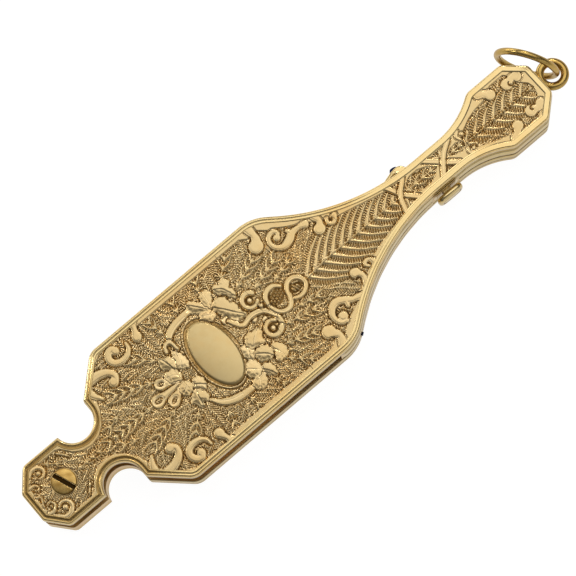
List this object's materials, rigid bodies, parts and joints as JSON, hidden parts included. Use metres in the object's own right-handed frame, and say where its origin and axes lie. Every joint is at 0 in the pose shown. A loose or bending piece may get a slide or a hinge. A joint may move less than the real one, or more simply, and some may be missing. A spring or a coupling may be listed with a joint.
{
  "type": "folding lorgnette",
  "caption": "Folding lorgnette in a chased gold case: framed lenses swing out of a side slot and unfold, released by a push button, with a hanging ring on a bail.",
  "frame": {"origin": "centre of the back cartouche's face, the plane that the case lies on", "axes": "+X along the case towards the ring, +Y across it towards the closed side, +Z out of the front cover"},
  "size_m": [0.1332, 0.0316, 0.0133],
  "materials": {
    "gold": "chased and polished",
    "pale_gold": "satin",
    "dark_gold": "worn, slightly tarnished",
    "steel": "turned",
    "blued_steel": "blued",
    "lens_glass": "clear"
  },
  "bodies": {
    "case": {"front_cover": "gold", "back_cover": "gold", "front_cartouche": "pale_gold", "back_cartouche": "pale_gold", "pivot_screw": "pale_gold", "pivot_bush": "dark_gold", "pivot_washers": "steel", "stop_pin": "steel", "mainspring": "blued_steel", "tray_rivets": "steel", "catch_guides": "dark_gold", "catch_spring": "blued_steel", "button_spring": "blued_steel", "side_lug": "gold", "side_lug_tip": "blued_steel", "case_pillars": "dark_gold", "side_pin": "blued_steel", "bail_loop": "dark_gold", "bail_post": "dark_gold"},
    "lens_a": {"lens_a_frame": "gold", "lens_a_glass": "lens_glass", "lens_a_screw": "steel", "drive_pin": "steel", "bridge_rivet": "pale_gold", "bridge_spring": "blued_steel"},
    "lens_b": {"lens_b_frame": "gold", "lens_b_glass": "lens_glass", "lens_b_screw": "steel"},
    "catch": {"catch_bolt": "pale_gold"},
    "button": {"push_button": "pale_gold"},
    "ring": {"suspension_ring": "dark_gold"}
  },
  "joints": [
    {"name": "lens_swing", "type": "hinge", "parent": "case", "child": "lens_a", "pos_m": [-0.0374, 0, 0.0054], "axis": [0, 0, -1], "range_deg": [0, 90], "deforming": ["mainspring"]},
    {"name": "lens_unfold", "type": "hinge", "parent": "lens_a", "child": "lens_b", "pos_m": [0.0171, 0, 0.00625], "axis": [0, 0, 1], "range_deg": [0, 180], "deforming": ["bridge_spring"]},
    {"name": "button_press", "type": "slide", "parent": "case", "child": "button", "axis": [0, 1, 0], "range_m": [0, 0.00055], "stiffness_N_per_m": 400, "springref_m": -0.0015, "deforming": ["button_spring"]},
    {"name": "catch_slide", "type": "slide", "parent": "case", "child": "catch", "axis": [1, 0, 0], "range_m": [0, 0.00055], "deforming": ["catch_spring"]},
    {"name": "ring_swing", "type": "hinge", "parent": "case", "child": "ring", "pos_m": [0.08363, 0.00209, 0.0048], "axis": [0.8545, 0.5195, 0], "range_deg": [-70, 8]}
  ],
  "couplings": [
    {"joint": "lens_unfold", "follows": "lens_swing", "ratio": 2},
    {"joint": "catch_slide", "follows": "button_press", "ratio": 1}
  ]
}
